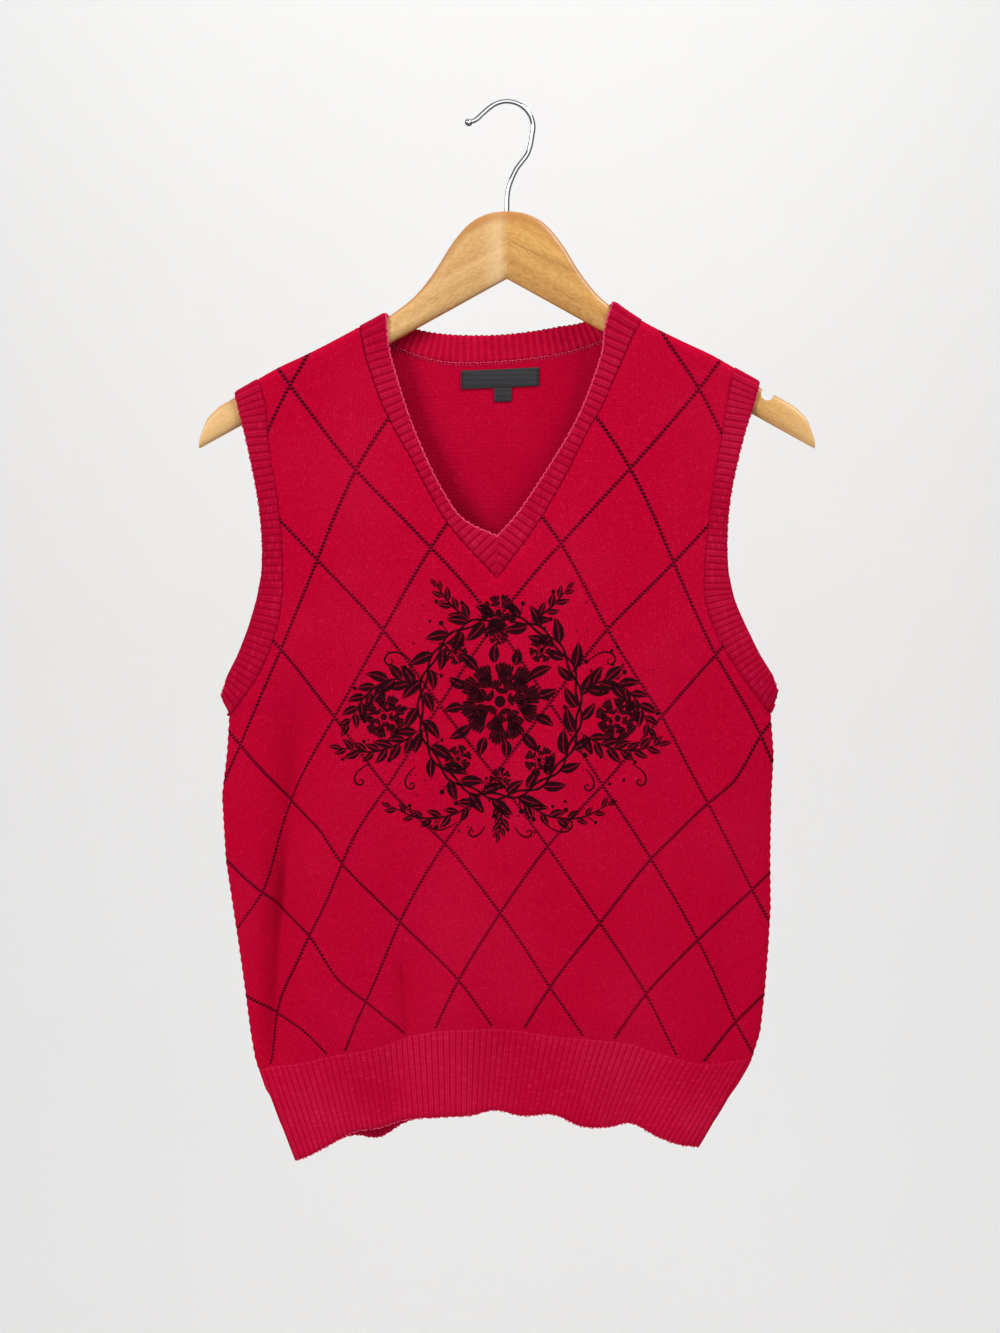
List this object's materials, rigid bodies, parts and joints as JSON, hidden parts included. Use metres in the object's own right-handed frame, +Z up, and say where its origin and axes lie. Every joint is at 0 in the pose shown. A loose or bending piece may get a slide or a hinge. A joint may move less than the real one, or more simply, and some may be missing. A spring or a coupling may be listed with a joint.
{
  "type": "knitted sweater vest on a wooden hanger",
  "caption": "Sleeveless V-neck knitted sweater vest with ribbed bands, hanging nearly flat from a contoured wooden hanger with a wire hook.",
  "frame": {"origin": "inside of the hook's crown, at the middle of its highest point, where a rail or a wall hook carries the hanger", "axes": "+Z up, the way the vest hangs; the vest's front faces -Y; +X is to the right when the front is looked at"},
  "size_m": [0.439, 0.0441, 0.7668],
  "materials": {
    "red_knit": "fine cotton knit, matte",
    "label_cloth": "woven satin label",
    "wood": "clear lacquer",
    "chrome": "bright plated wire"
  },
  "bodies": {
    "root": {"front_panel": "red_knit", "back_panel": "red_knit", "neckband": "red_knit", "armband_left": "red_knit", "armband_right": "red_knit", "hem_rib_front": "red_knit", "hem_rib_back": "red_knit", "neck_label": "label_cloth", "size_tab": "label_cloth", "hanger_left": "wood", "hanger_right": "wood", "hook": "chrome"}
  },
  "joints": []
}
